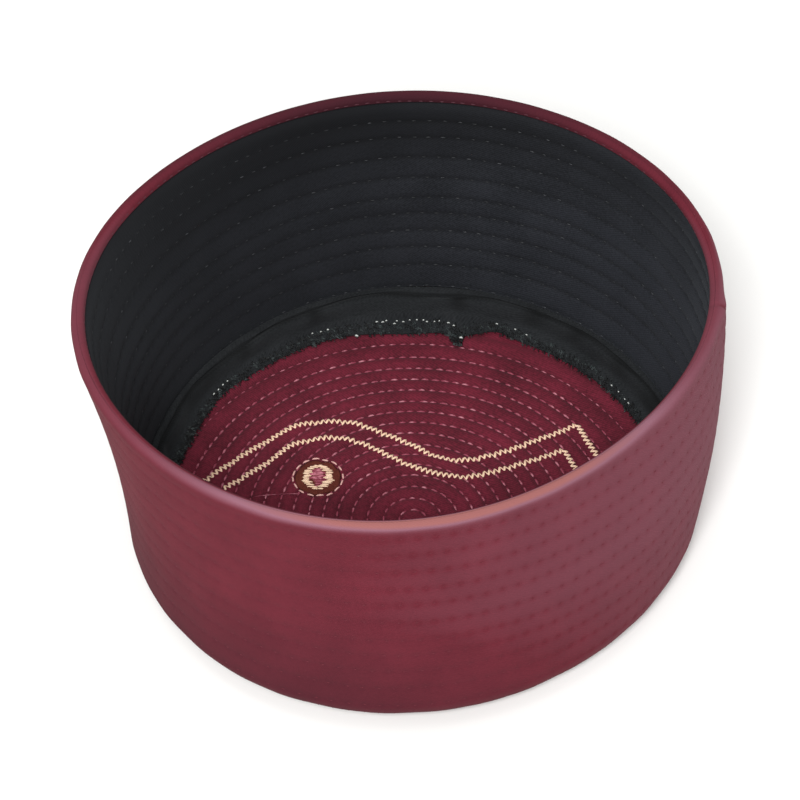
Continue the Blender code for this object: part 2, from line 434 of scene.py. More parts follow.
def stitch_rows(shifts, below, seed):
    """Facts of each row: its climb, the number of its stitches, its phase and the seed of its wander."""
    draw = np.random.default_rng(seed)
    climbs = [FIRST_CLIMB + ROW_PITCH * row + shift for row, shift in enumerate(shifts)]
    rows = [FIRST_CLIMB - ROW_PITCH * (row + 1) for row in range(below)] + climbs
    return [{"climb": climb, "count": STITCHES_ROUND + int(draw.integers(-3, 4)),
             "phase": draw.uniform(0, math.tau), "seed": seed * 100 + index}
            for index, climb in enumerate(rows)]


def wander(bearing, row):
    """How far a row strays from level at each bearing, in millimetres."""
    return STRAY * ripple(bearing, 0 * bearing, (3, 7, 13, 22), row["seed"])


def quilt(bearing, climb, rows, dent, width, gather):
    """How deep stitching pulls the cloth: gather 0 is an even channel, 1 a string of dimples."""
    depth = 0 * bearing
    for row in rows:
        off = climb - row["climb"] - wander(bearing, row)
        beat = (0.5 + 0.5 * np.cos(row["count"] * bearing - row["phase"])) ** 2
        dimple = bell(off, width) * (1 - gather + gather * beat)
        depth += dent * (dimple + PAD_SHARE * bell(off, PAD_REACH * width))
    return depth


def face_climbs(low, high, rows):
    """Climbs of a quilted face from low to high, gathered at its rows of stitches."""
    inner = [row["climb"] + offset for row in rows for offset in FACE_OFFSETS]
    return [low] + sorted(climb for climb in inner if low + 0.25 < climb < high - 0.25) + [high]

# %% [markdown]
# # The upright join
# The side band is one strip, closed by an upright seam at the right. Its layers are twice as thick
# there, so the band bulges for a few millimetres each side of a sharp groove, most of all at the rim,
# where the groove creases the crest.

# %% Join and band
JOIN_BEARING = math.radians(-3)
JOIN_CREASE = {"depth": 0.5, "half": 0.8, "low": 2.5, "span": 2}
MEAN_RADIUS = 92


def join(bearing, half_width):
    """1 at the upright join of the band, fading over half_width millimetres to both sides."""
    return bell(turned_from(bearing, JOIN_BEARING) * RIM["radius"], half_width)


def band(name, profile, steps, relief, wear_and_painted_light):
    """A band on the cap's form from a closed profile of (climb, depth), with its relief and its painted
    light and shade.
    """
    def place_points(bearing, climb, depth):
        points = shell(bearing, to_run(climb), depth + relief(bearing, climb, depth))
        on_crest = clipped((climb - SIDE_HEIGHT + JOIN_CREASE["low"]) / JOIN_CREASE["span"])
        points[:, 2] -= JOIN_CREASE["depth"] * on_crest * join(bearing, JOIN_CREASE["half"])
        return points, bearing * MEAN_RADIUS, climb + depth, wear_and_painted_light(bearing, climb, depth)

    return wrap_grid(name, profile + profile[:1], steps, place_points)

# %% [markdown]
# # Side band
# The band is a pad of twill over stiff interlining, turned under at the foot and joined upright at one
# side, where a small kink shows in the rim. Its outside is quilted in ten rows, with one more just above
# the crown seam and an edge stitch under the rim. Its crest is a soft half round, made by this piece and
# the rim fold together. Its inside is hidden by the lining, so that face is coarse.

# %% Side band
WALL = 2.4
GAP = 0.3
FACING = 1.5
CREST = (WALL + GAP + FACING) / 2
SEAM_RUN = -0.58
SEAM_GAP_RUN = 0.014
RIM_STITCH_DROP = 4.9
SIDE_STEPS = 720
FACE_SHARE = 0.6
OUTER_QUILT = {"dent": 0.13, "width": 0.85, "gather": 0.7}
RIM_QUILT = {"dent": 0.16, "width": 0.7, "gather": 0.7}
JOIN_GROOVE = {"depth": 0.5, "half": 0.7}
JOIN_BULGE = {"foot": 0.3, "more_at_rim": 0.7, "half": 5.0}
OUTER_UNEVEN = 0.16

outer_rows = stitch_rows(OUTER_SHIFTS, below=1, seed=3)
rim_row = {"climb": SIDE_HEIGHT - RIM_STITCH_DROP, "count": 120, "phase": 1.0, "seed": 71}
low_climb = (SEAM_RUN + SEAM_GAP_RUN) * CORNER_LENGTH
print("rows climb to", [round(row["climb"], 1) for row in outer_rows], "mm")


def crest_point(angle):
    """Climb and depth on the crest's half round: 0 degrees outside, 90 on top, 180 inside."""
    turn = math.radians(angle)
    return SIDE_HEIGHT - CREST * (1 - math.sin(turn)), CREST * (1 - math.cos(turn))


def crest_climb(depth):
    """Climb of the crest's half round at a depth."""
    return SIDE_HEIGHT - CREST + math.sqrt(CREST ** 2 - (CREST - depth) ** 2)


def outer_relief(bearing, climb, depth):
    """The outside's stitching, join and slow unevenness; the hidden inside stays plain."""
    face = clipped(1 - depth / (FACE_SHARE * WALL))
    dents = quilt(bearing, climb, outer_rows, **OUTER_QUILT)
    dents += quilt(bearing, climb, [rim_row], **RIM_QUILT)
    bulge = JOIN_BULGE["foot"] + JOIN_BULGE["more_at_rim"] * clipped(climb / SIDE_HEIGHT) ** 4
    groove = JOIN_GROOVE["depth"] * join(bearing, JOIN_GROOVE["half"])
    seam = groove - bulge * join(bearing, JOIN_BULGE["half"])
    uneven = OUTER_UNEVEN * ripple(bearing, 2 * climb, (9, 14, 23, 37), 5)
    return face * (dents + seam + uneven)

# %% [markdown]
# The outer cloth's colour carries painted light and shade. A painted highlight lies on the crest, brightest
# at the front a little right of the middle, and a painted sheen lies on the right side. Painted shade
# darkens the foot, the stitch dimples and the join's groove. It is a formula of place, so band and fold
# agree where they meet.

# %% Painted light and shade of the outer cloth
# Turn of the painted highlight and the painted sheen from the front and the right.
HIGHLIGHT_TURN = math.radians(12)
# Painted highlight on the crest.
CREST_HIGHLIGHT = {"low": 3.0, "span": 2.8, "front": 2.7, "sides": 0.2, "back": 0.75}
# Painted sheen on the right side.
SIDE_SHEEN = 0.42
# Painted shade towards the foot.
FOOT_SHADE = {"strength": 0.42, "height": 38, "less_at_side": 0.6}
# Painted shade at the stitch dimples.
OUTER_DOT_SHADE = {"dent": 0.13, "width": 1.3, "gather": 0.8}
# Painted shade in the join's groove.
JOIN_SHADE = {"strength": 0.5, "half": 0.6}


def painted_sheen(bearing, climb):
    """How strong the crest's painted highlight is: most at the front, least at the back."""
    near_top = clipped((climb - SIDE_HEIGHT + CREST_HIGHLIGHT["low"]) / CREST_HIGHLIGHT["span"])
    front = CREST_HIGHLIGHT["front"] * clipped(-np.sin(bearing - HIGHLIGHT_TURN)) ** 4
    sides = CREST_HIGHLIGHT["sides"] * np.cos(bearing) ** 2
    return near_top ** 2.5 * (front + sides - CREST_HIGHLIGHT["back"] * clipped(np.sin(bearing)))


def outer_painted_light(bearing, climb, depth):
    """Painted shade at the stitches, in the join's groove and towards the foot; painted highlight at the
    crest and painted sheen on the right side.
    """
    face = clipped(1 - depth / (FACE_SHARE * WALL))
    dots = quilt(bearing, climb, outer_rows + [rim_row], **OUTER_DOT_SHADE)
    side = clipped(np.cos(bearing + HIGHLIGHT_TURN))
    low = FOOT_SHADE["strength"] * clipped(1 - climb / FOOT_SHADE["height"])
    low = low * (1 - FOOT_SHADE["less_at_side"] * side)
    groove = JOIN_SHADE["strength"] * join(bearing, JOIN_SHADE["half"])
    return painted_sheen(bearing, climb) + face * (SIDE_SHEEN * side - dots - low - groove)

# %% [markdown]
# The band's profile runs up the outside, over the outer half of the crest and down the plain inside.

# %% Side band mesh
outer_face = face_climbs(low_climb, crest_point(0)[0], outer_rows + [rim_row])
side_profile = [(climb, 0) for climb in outer_face]
side_profile += [crest_point(angle) for angle in range(15, 91, 15)] + [(crest_climb(WALL), WALL)]
side_profile += [(climb, WALL) for climb in (70, 60, 40, 20, 0, -7, low_climb)]
side_mesh = band("side_band", side_profile, SIDE_STEPS, outer_relief, outer_painted_light)
side_band = add_piece("side_band", side_mesh, outer_twill, "outer_wall")

# %% [markdown]
# # Rim fold
# At the rim the maroon cloth turns over to the inside and is stitched down just above its edge. In the
# photograph the two layers show as one soft crest with a hairline between them, so this piece makes the
# inner half of the same half round. Its crest carries the band's painted highlight, and painted shade
# darkens the face that turns in, most at the back and front.

# %% Rim fold
SEAT = 0.06
FOLD_DROP = 2.9
FOLD_HEM = 0.45
FOLD_STITCH = 0.65
FOLD_QUILT = {"dent": 0.2, "width": 0.5, "gather": 0.5}
# Painted shade down the fold's face that turns in, most at the back and front.
FOLD_FACE_SHADE = {"from": 2.4, "span": 1.1, "back": 0.9, "less_at_sides": 1.1}

fold_row = {"climb": SIDE_HEIGHT - FOLD_DROP + FOLD_STITCH, "count": 170, "phase": 2.0, "seed": 72}
fold_back = WALL + SEAT
fold_face = WALL + GAP + FACING


def fold_relief(bearing, climb, depth):
    """The stitching of the turned-in cloth."""
    return -clipped((depth - fold_back) / FACING) * quilt(bearing, climb, [fold_row], **FOLD_QUILT)


def fold_painted_light(bearing, climb, depth):
    """The crest's painted highlight; down the side that faces in, painted shade, most at the back and front.
    """
    down = clipped((depth - FOLD_FACE_SHADE["from"]) / FOLD_FACE_SHADE["span"])
    deep = FOLD_FACE_SHADE["back"] - FOLD_FACE_SHADE["less_at_sides"] * np.cos(bearing) ** 2
    return painted_sheen(bearing, climb) * (1 - down) - deep * down


low_fold = SIDE_HEIGHT - FOLD_DROP
fold_profile = [(low_fold, fold_back), (SIDE_HEIGHT - 1.5, fold_back), (crest_climb(fold_back), fold_back)]
fold_profile += [crest_point(angle) for angle in (105, 120, 135, 150, 165, 180)]
fold_profile += [(fold_row["climb"] + offset, fold_face) for offset in (0.1, -0.15)]
fold_profile += [(low_fold + FOLD_HEM * (1 - math.sin(a)), fold_face - FOLD_HEM * (1 - math.cos(a)))
                 for a in np.radians((0, 45, 90))]
fold_mesh = band("rim_fold", fold_profile, SIDE_STEPS, fold_relief, fold_painted_light)
rim_fold = add_piece("rim_fold", fold_mesh, outer_twill, "rim_facing")

# %% [markdown]
# # Lining
# The lining is plain black twill, quilted in rows of its own. It goes up under the rim fold and ends just
# above the crown seam.

# %% Lining
LINING = 1.35
LINING_STEPS = 720
LINING_QUILT = {"dent": 0.42, "width": 0.85, "gather": 0.4}
# Painted shade in the lining's channels.
LINING_DOT_SHADE = {"dent": 0.4, "width": 0.9, "gather": 0.4}
LINING_UNEVEN = 0.2
# Painted light on the lining's right side and painted shade on its left.
LINING_SIDE_LIGHT = {"right": 0.5, "middle": -0.02}
# Painted shade under the rim.
UNDER_RIM_SHADE = {"strength": 0.85, "from": 40, "span": 30}
lining_rows = stitch_rows(LINING_SHIFTS, below=0, seed=4)
lining_back = WALL + GAP
lining_face = lining_back + LINING
lining_low = -0.06 * CORNER_LENGTH
lining_high = SIDE_HEIGHT - FOLD_DROP - GAP


def lining_relief(bearing, climb, depth):
    """The lining's stitching and slow unevenness on the side that shows."""
    face = clipped((depth - lining_back) / LINING)
    uneven = LINING_UNEVEN * ripple(bearing, 2 * climb, (7, 12, 19, 31), 6)
    return -face * (quilt(bearing, climb, lining_rows, **LINING_QUILT) + uneven)


def lining_painted_light(bearing, climb, depth):
    """Painted shade in the lining's channels, on its left side and under the rim; painted light on its right
    side.
    """
    side = LINING_SIDE_LIGHT["right"] * np.cos(bearing) + LINING_SIDE_LIGHT["middle"]
    under_rim = UNDER_RIM_SHADE["strength"] * clipped((climb - UNDER_RIM_SHADE["from"]) / UNDER_RIM_SHADE["span"])
    return side - under_rim - quilt(bearing, climb, lining_rows, **LINING_DOT_SHADE)


lining_profile = [(climb, lining_back) for climb in (lining_low, 15, 30, 45, 60, lining_high)]
lining_profile += [(climb, lining_face) for climb in face_climbs(lining_low, lining_high, lining_rows)[::-1]]
lining_mesh = band("black_lining", lining_profile, LINING_STEPS, lining_relief, lining_painted_light)
lining = add_piece("black_lining", lining_mesh, black_twill, "wall_lining")

# %% [markdown]
# # Seam allowance
# Below the lining the cut edges of band, lining and crown are rolled together. The black cloth there is
# slack: a strip hangs to a wavy fold, a puffy roll swells under it, and a stitched crease parts the roll
# from the overlocked edge that lies on the crown.

# %% Seam roll
CROWN = 2.9
ROLL_STEPS = 960
ROLL_FACE = (
    {"run": -0.085, "depth": 4.4}, {"run": -0.12, "depth": 4.7}, {"run": -0.155, "depth": 5.3},
    {"run": -0.185, "depth": 5.8}, {"run": -0.205, "depth": 5.7}, {"run": -0.225, "depth": 5.1},
    {"run": -0.245, "depth": 4.4}, {"run": -0.265, "depth": 5.0}, {"run": -0.285, "depth": 5.9},
    {"run": -0.31, "depth": 6.7}, {"run": -0.35, "depth": 7.3}, {"run": -0.40, "depth": 7.4},
    {"run": -0.45, "depth": 7.0}, {"run": -0.50, "depth": 6.3}, {"run": -0.54, "depth": 5.4},
    {"run": -0.572, "depth": 4.7}, {"run": -0.6, "depth": 4.9}, {"run": -0.64, "depth": 4.8},
    {"run": -0.68, "depth": 4.3}, {"run": -0.71, "depth": 3.8}, {"run": -0.72, "depth": 3.5})
# The binding lies further in at the back, where it has slipped, and further out at two places beside it.
BINDING_SLIPS = ({"bearing": 92, "half": 13, "slip": 0.085}, {"bearing": 79, "half": 4, "slip": 0.05},
                 {"bearing": 70, "half": 4, "slip": -0.045}, {"bearing": 144, "half": 8, "slip": -0.04})
SLIP_FROM, SLIP_SPAN = -0.56, 0.1
FOLD_LINE = {"run": -0.27, "half": 0.13, "wave": 0.14}
FOLD_SHADE = {"run": -0.262, "half": 0.045}
PUFF_FROM, PUFF_SPAN = 5.0, 1.5
SLACK = 1.8
# Its tone is painted shade in the creases.
CREASE = {"depth": 1.1, "half": 0.24, "tone": 0.6}
ROLL_RADIUS = 84
roll_back = CROWN + GAP


def binding_slip(bearing):
    """How much further in the binding lies, as a share of the corner."""
    return sum(place["slip"] * bell(np.degrees(turned_from(bearing, math.radians(place["bearing"]))),
                                    place["half"]) for place in BINDING_SLIPS)


def slipped(bearing, run):
    """Runs of the roll's lower part with the binding's slip."""
    return run - binding_slip(bearing) * clipped((SLIP_FROM - run) / SLIP_SPAN)


def roll_points(bearing, run, depth):
    """Points of the roll, with a wavy fold line, creases that run out from it and slack puffs, and painted
    shade in the creases and along the fold line.
    """
    face = clipped((depth - roll_back) / 2)
    fold_wave = FOLD_LINE["wave"] * ripple(bearing, 0 * bearing, (3, 5, 9, 14), 21)
    moved = slipped(bearing, run) + fold_wave * bell(run - FOLD_LINE["run"], FOLD_LINE["half"])
    puff = clipped((depth - PUFF_FROM) / PUFF_SPAN)
    slack = SLACK * ripple(bearing, 80 * run, (5, 11, 17, 24), 22)
    crease = -CREASE["depth"] * bell(ripple(bearing, 160 * run, (5, 8, 14), 24), CREASE["half"])
    points = shell(bearing, moved, depth + face * puff * (slack + crease))
    # Painted shade in the creases and along the fold line.
    shade = CREASE["tone"] * puff * crease - bell(run - FOLD_SHADE["run"], FOLD_SHADE["half"])
    return points, bearing * ROLL_RADIUS, run * CORNER_LENGTH + depth, face * shade


roll_profile = [(run, roll_back) for run in (-0.72, -0.6, -0.45, -0.3, -0.15, -0.085)]
roll_profile += [(point["run"], point["depth"]) for point in ROLL_FACE]
roll_mesh = wrap_grid("seam_roll", roll_profile + roll_profile[:1], ROLL_STEPS, roll_points)
seam_roll = add_piece("seam_roll", roll_mesh, black_edge, "seam_allowance")

# %% [markdown]
# # Crown
# The crown is a stiff quilted disc. Its stitches run in sixteen rings, about 4.9 mm apart, round a point
# that lies a little off the middle. Each ring pulls a sharp valley and the pad swells between two rings
# like a low arch, so a ring of cloth is lit on the side that faces the mouth's open part and dark on the
# other. The rings go right through, so the underside, which is the top of the cap when it is worn, has
# them too, but there the disc lies on the floor and is nearly flat.

# %% Crown
RING_CENTRE = np.array((3.48, -11.92))
RING_RADII = (4.2, 9.1, 14.1, 19.0, 23.6, 27.9, 32.3, 37.3, 42.0, 46.8, 51.3, 56.5, 61.3, 66.3, 71.4, 77.4)
RING_STITCH = 3.3
RING_SWELL = 1.0
RING_DENT = 0.22
DENT_HALF = 0.5
UNDER_SWELL = 0.12
UNDER_DENT = 0.3
# Painted shade along the ring valleys.
RING_SHADE = {"strength": 0.25, "half": 0.8}
BEYOND_RINGS = 83.0
LAST_ROUND = 72.52
EDGE_RADIUS = 100.0
CROWN_STEPS = 376

ring_counts = [max(7, round(math.tau * radius / RING_STITCH)) for radius in RING_RADII]
ring_phases = np.random.default_rng(9).uniform(0, math.tau, len(RING_RADII))
print("stitches in each ring", ring_counts)


def crown_edge(bearing):
    """Points of the crown's sewn edge."""
    return outside(bearing, np.full_like(bearing, SEAM_RUN))


def crown_place(bearing, radius, depth):
    """Points of the crown: true circles about the ring centre, eased to the seam beyond the last."""
    share = np.maximum(0, (radius - LAST_ROUND) / (EDGE_RADIUS - LAST_ROUND))
    flat = RING_CENTRE + ray(bearing) * np.minimum(radius, LAST_ROUND)[:, None]
    flat = flat + (crown_edge(bearing)[:, :2] - flat) * share[:, None]
    off = flat - np.array((FLAT["x"], FLAT["y"]))
    turned = np.arctan2(off[:, 1], off[:, 0])
    reach = np.linalg.norm(outline(FOOT, turned) - outline(FLAT, turned), axis=-1)
    beyond = np.maximum(0, np.linalg.norm(off, axis=-1) - FLAT["radius"]) / reach
    height = FOOT_HEIGHT * (1 - np.sqrt(1 - beyond ** 2))
    level = np.array((0, 0, 1))
    up = unit(level + (inward(bearing, np.full_like(bearing, SEAM_RUN)) - level) * share[:, None])
    return np.concatenate([flat, height[:, None]], -1) + up * depth[:, None]

# %% [markdown]
# A ring's relief is worked out from the distance to the ring centre alone: 0 half way between two rings,
# deepest at a ring, with a sharp dent under each thread.

# %% Ring relief
def about_rings(places):
    """Distances and bearings of x and y places from the ring centre."""
    off = places - RING_CENTRE
    return np.hypot(off[:, 0], off[:, 1]), np.arctan2(off[:, 1], off[:, 0])


def ring_relief(places, swell, dent):
    """How deep the rings of stitches pull the crown at points given by x and y."""
    radius, bearing = about_rings(places)
    marks = (-RING_RADII[0],) + RING_RADII + (BEYOND_RINGS,)
    between = np.interp(radius, marks, np.arange(len(marks))) % 1
    total = swell * (1 - 4 * between * (1 - between))
    for middle, count, phase in zip(RING_RADII, ring_counts, ring_phases):
        beat = np.cos(count * bearing - phase)
        total += dent * bell(radius - middle, DENT_HALF) * (0.6 + 0.4 * beat)
    return total


def ring_shade(places):
    """Painted shade along the rings of stitches."""
    radius, _ = about_rings(places)
    return -RING_SHADE["strength"] * sum(bell(radius - middle, RING_SHADE["half"]) for middle in RING_RADII)

# %% [markdown]
# The crown is a grid wrapped round as the bands are, with its first and last row drawn together in the
# middle. Its rows are gathered at the rings, where the cloth turns sharply.

# %% Crown mesh
def crown_points(bearing, radius, depth):
    """Points of the crown pad with its stitching on both sides."""
    bare = crown_place(bearing, radius, depth)
    inner = radius < EDGE_RADIUS - 1
    over = np.where(inner, ring_relief(bare[:, :2], RING_SWELL, RING_DENT), 0)
    under = np.where(inner, ring_relief(bare[:, :2], UNDER_SWELL, UNDER_DENT), 0)
    points = crown_place(bearing, radius, depth + np.where(depth > CROWN / 2, -over, under))
    points[:, 2] = np.maximum(points[:, 2], 0)
    return points, bare[:, 0], bare[:, 1], ring_shade(bare[:, :2])


def ring_rows(shares, outer_count):
    """Radii of the crown's mesh rows: points at shares of each ring's width, then steps to the seam."""
    marks = [0.0] + [radius for radius in RING_RADII if radius < LAST_ROUND]
    inner = [a + (b - a) * share for a, b in zip(marks, marks[1:]) for share in shares]
    return inner + list(np.linspace(marks[-1], EDGE_RADIUS - 0.2, outer_count)) + [EDGE_RADIUS]


top_rows = ring_rows((0, 0.06, 0.14, 0.26, 0.38, 0.5, 0.62, 0.74, 0.86, 0.94), 36)
under_rows = ring_rows((0, 0.12, 0.5, 0.88), 8)
crown_profile = [(radius, 0.0) for radius in under_rows] + [(radius, CROWN) for radius in top_rows[::-1]]
crown_mesh = wrap_grid("quilted_crown", crown_profile, CROWN_STEPS, crown_points)
quilted_crown = add_piece("quilted_crown", crown_mesh, crown_twill, "crown")

# %% [markdown]
# # Threads
# Every stitch on the cap is the same small thing: a short arched thread that comes up through the cloth
# and dives in again. We model one, with the ends bent down, and strew copies along lines with Geometry
# Nodes. Each copy has its own place, turn and size, and realizing them joins them to one mesh.

# %% Stitch template and strewing
UP = (0, 0, 1)


def thread_template(name, sides, rings, arch, fullness):
    """One stitch in a unit box: along X, arched in Z; fullness below 1 makes its ends blunter."""
    work = bmesh.new()
    bmesh.ops.create_uvsphere(work, u_segments=sides, v_segments=rings, radius=0.5, calc_uvs=True)
    for vert in work.verts:
        reach = math.hypot(vert.co.x, vert.co.y)
        blunt = (2 * reach) ** fullness / 2 / reach if reach > 1e-6 else 1
        vert.co = Vector((vert.co.z, vert.co.x * blunt, vert.co.y * blunt - arch * (2 * vert.co.z) ** 2))
    bmesh.ops.recalc_face_normals(work, faces=work.faces)
    mesh = bpy.data.meshes.new(name)
    work.to_mesh(mesh)
    work.free()
    mesh.shade_smooth()
    return bpy.data.objects.new(name, mesh)


def strew_tree(template):
    """A node group that sets a copy of the template on every point and realizes them all."""
    tree = bpy.data.node_groups.new("strew", "GeometryNodeTree")
    tree.interface.new_socket("Geometry", in_out="INPUT", socket_type="NodeSocketGeometry")
    tree.interface.new_socket("Geometry", in_out="OUTPUT", socket_type="NodeSocketGeometry")
    points = add(tree, "NodeGroupInput").outputs[0]
    copy = add(tree, "GeometryNodeObjectInfo", {"Object": template}).outputs["Geometry"]
    turn, size = (add(tree, "GeometryNodeInputNamedAttribute", {"Name": label},
                      data_type="FLOAT_VECTOR").outputs[0] for label in ("turn", "size"))
    spread = add(tree, "GeometryNodeInstanceOnPoints", {"Points": points, "Instance": copy,
                                                        "Rotation": turn, "Scale": size})
    real = add(tree, "GeometryNodeRealizeInstances", {0: spread.outputs[0]})
    add(tree, "NodeGroupOutput", {0: real.outputs[0]})
    return tree


def strew(name, template, places, alongs, ups, sizes, look, slot):
    """One piece of many copies: places in mm, directions along and up, sizes (length, width, height)."""
    ups = np.broadcast_to(ups, (len(places), 3))
    cloud = bpy.data.meshes.new(name + "_points")
    cloud.vertices.add(len(places))
    cloud.vertices.foreach_set("co", (np.asarray(places) * MM).ravel())
    turns = []
    for along, up in zip(alongs, ups):
        ahead = Vector(along).normalized()
        side = Vector(up).cross(ahead).normalized()
        turns.append(Matrix((ahead, side, ahead.cross(side))).transposed().to_euler())
    values = {"turn": np.array(turns), "size": np.asarray(sizes) * MM}
    for label, value in values.items():
        cloud.attributes.new(label, "FLOAT_VECTOR", "POINT").data.foreach_set("vector", value.ravel())
    carrier = bpy.data.objects.new(name + "_cloud", cloud)
    bpy.context.scene.collection.objects.link(carrier)
    carrier.modifiers.new("strew", "NODES").node_group = strew_tree(template)
    graph = bpy.context.evaluated_depsgraph_get()
    mesh = bpy.data.meshes.new_from_object(carrier.evaluated_get(graph))
    mesh.name = name
    bpy.data.objects.remove(carrier)
    return add_piece(name, mesh, look)

# %% [markdown]
# # Thread materials
# Sewing thread is smoother than cloth, with a soft shine along it, and painted shade darkens it where it
# dives into the cloth. The copies keep the template's own UV, whose upright value runs from end to end,
# so the material can paint that shade on both ends. A noise of a few millimetres makes some stitches paler
# than others.
# A stitch has 60 triangles. The thousands of hair-fine ones use a plainer copy with 30, so that all that
# this script adds stays under a million.

# %% Thread materials
def thread(name, bright, deep, shine, worn="#808080", wear_and_painted_light=0.0):
    """Twisted thread, bright in the middle of each stitch, with painted shade at its ends, paler in worn
    spots.
    """
    look, tree, shader = new_material(name, {"Roughness": 0.62 - 0.3 * shine, "Sheen Weight": 0.15,
                                             "Sheen Tint": srgb(bright),
                                             "Specular IOR Level": 0.2 + 0.4 * shine})
    place = add(tree, "ShaderNodeUVMap", uv_map="UVMap").outputs[0]
    part = add(tree, "ShaderNodeSeparateXYZ", {0: place}).outputs[1]
    middle = add(tree, "ShaderNodeMath", {0: part, 1: 0.5}, operation="SUBTRACT").outputs[0]
    away = add(tree, "ShaderNodeMath", {0: middle}, operation="ABSOLUTE").outputs[0]
    # The deep colour is painted shade where the thread dives into the cloth.
    ends = add(tree, "ShaderNodeMapRange", {"Value": away, "From Min": 0.2, "From Max": 0.47}).outputs[0]
    plain = add(tree, "ShaderNodeMix", {"Factor": ends, 6: srgb(bright), 7: srgb(deep)}, data_type="RGBA")
    spot = add(tree, "ShaderNodeTexCoord").outputs["Object"]
    noise = add(tree, "ShaderNodeTexNoise", {"Vector": spot, "Scale": 0.5 / MM, "Detail": 2.0}).outputs[0]
    pale = add(tree, "ShaderNodeMapRange", {"Value": noise, "From Min": 0.5, "From Max": 0.65,
                                            "To Max": wear_and_painted_light}).outputs[0]
    mix = add(tree, "ShaderNodeMix", {"Factor": pale, 6: plain.outputs[2], 7: srgb(worn)}, data_type="RGBA")
    tree.links.new(mix.outputs[2], shader.inputs["Base Color"])
    return look


stitch = thread_template("stitch", sides=6, rings=6, arch=0.5, fullness=0.6)
fine_stitch = thread_template("fine_stitch", sides=5, rings=4, arch=0.5, fullness=0.6)
# Cotton threads are dull, and worn ones have pale spots. The rayon shines, so each limb has a highlight.
# Each thread's second colour is painted shade at its ends.
maroon_thread = thread("maroon sewing thread", "#5E1F2A", "#561A25", 0.0)
lilac_thread = thread("faded rose sewing thread", "#C07082", "#823446", 0.3, "#D898A4", 0.4)
dusty_thread = thread("dusty maroon sewing thread", "#70444E", "#4C2630", 0.2)
black_thread = thread("black sewing thread", "#34373B", "#1C1E20", 0.3, "#54565A", 0.5)
overlock_thread = thread("black overlock thread", "#121415", "#0A0B0C", 0.2, "#3C4444", 0.8)
white_thread = thread("white bobbin thread", "#F4F6F4", "#B8BCB8", 0.3)
gold_thread = thread("pale gold embroidery rayon", "#FFF8F0", "#E2C0A2", 0.7)
print("faces of a stitch", len(stitch.data.polygons), "and of a fine one", len(fine_stitch.data.polygons))

# %% [markdown]
# # Stitches of the band, the fold and the lining
# Each row's threads lie in its own channel, one to each dimple. On the outside they are dyed like the
# cloth and drawn in so tightly that only a dark point shows.

# %% Row stitches
# Length and thickness of a thread, and how far it lies above or below the bottom of its channel.
OUTER_THREAD = {"size": (1.9, 0.5), "sunk": 0.08}
LINING_THREAD = {"size": (2.2, 0.34), "raised": 0.03}
FOLD_THREAD = {"size": (2.0, 0.34), "raised": 0.04}


def row_stitches(rows, depth_of, side, size, seed):
    """Places, directions and sizes of the stitches of rows on the band; side is 1 for the inside."""
    draw = np.random.default_rng(seed)
    places, alongs, ups, sizes = [], [], [], []
    for row in rows:
        bearing = (math.tau * np.arange(row["count"]) + row["phase"]) / row["count"]
        bearing = bearing + draw.normal(0, 0.0025, row["count"])
        climb = row["climb"] + wander(bearing, row)
        run = to_run(climb)
        depth = depth_of(bearing, climb)
        here = shell(bearing, run, depth)
        places += list(here)
        alongs += list(shell(bearing + 0.01, run, depth) - here)
        ups += list(inward(bearing, run) * side)
        sizes += [(size[0] * draw.uniform(0.85, 1.1), size[1], size[1]) for _ in bearing]
    return places, alongs, ups, sizes


def outer_thread_depth(bearing, climb):
    """Depth of the outer threads: sunk in their channel."""
    return outer_relief(bearing, climb, 0 * bearing) + OUTER_THREAD["sunk"]


def lining_thread_depth(bearing, climb):
    """Depth of the lining's threads: laid in their channel."""
    return lining_face + lining_relief(bearing, climb, lining_face + 0 * bearing) + LINING_THREAD["raised"]


def fold_thread_depth(bearing, climb):
    """Depth of the threads that hold the rim fold."""
    return fold_face + fold_relief(bearing, climb, fold_face + 0 * bearing) + FOLD_THREAD["raised"]


strew("outer_stitches", fine_stitch,
      *row_stitches(outer_rows + [rim_row], outer_thread_depth, -1, OUTER_THREAD["size"], 31),
      maroon_thread, "outer_cloth")
strew("lining_stitches", fine_stitch,
      *row_stitches(lining_rows, lining_thread_depth, 1, LINING_THREAD["size"], 32),
      black_thread, "lining_cloth")
strew("fold_stitches", fine_stitch,
      *row_stitches([fold_row], fold_thread_depth, 1, FOLD_THREAD["size"], 33),
      dusty_thread, "facing_cloth")

# %% [markdown]
# # Stitches of the crown
# The rings' threads are a faded rose, lighter than the cloth. About 1.9 mm of each shows, every 3.3 mm,
# and its ends dive into the pad. They lie above the valley's floor, because they span it like a cord.

# %% Ring stitches
RING_THREAD = {"size": (2.7, 0.72), "raised": 0.32}
UNDER_THREAD = {"size": (2.0, 0.36), "height": 0.3}


def on_crown(places, depth):
    """Points on the crown above x and y places, at a depth through the pad."""
    distance, bearing = about_rings(np.asarray(places, dtype=float))
    edge = np.linalg.norm(crown_edge(bearing)[:, :2] - RING_CENTRE, axis=-1)
    beyond = np.maximum(0, distance - LAST_ROUND) / (edge - LAST_ROUND)
    nominal = np.minimum(distance, LAST_ROUND) + beyond * (EDGE_RADIUS - LAST_ROUND)
    return crown_place(bearing, nominal, np.broadcast_to(depth, distance.shape)), nominal


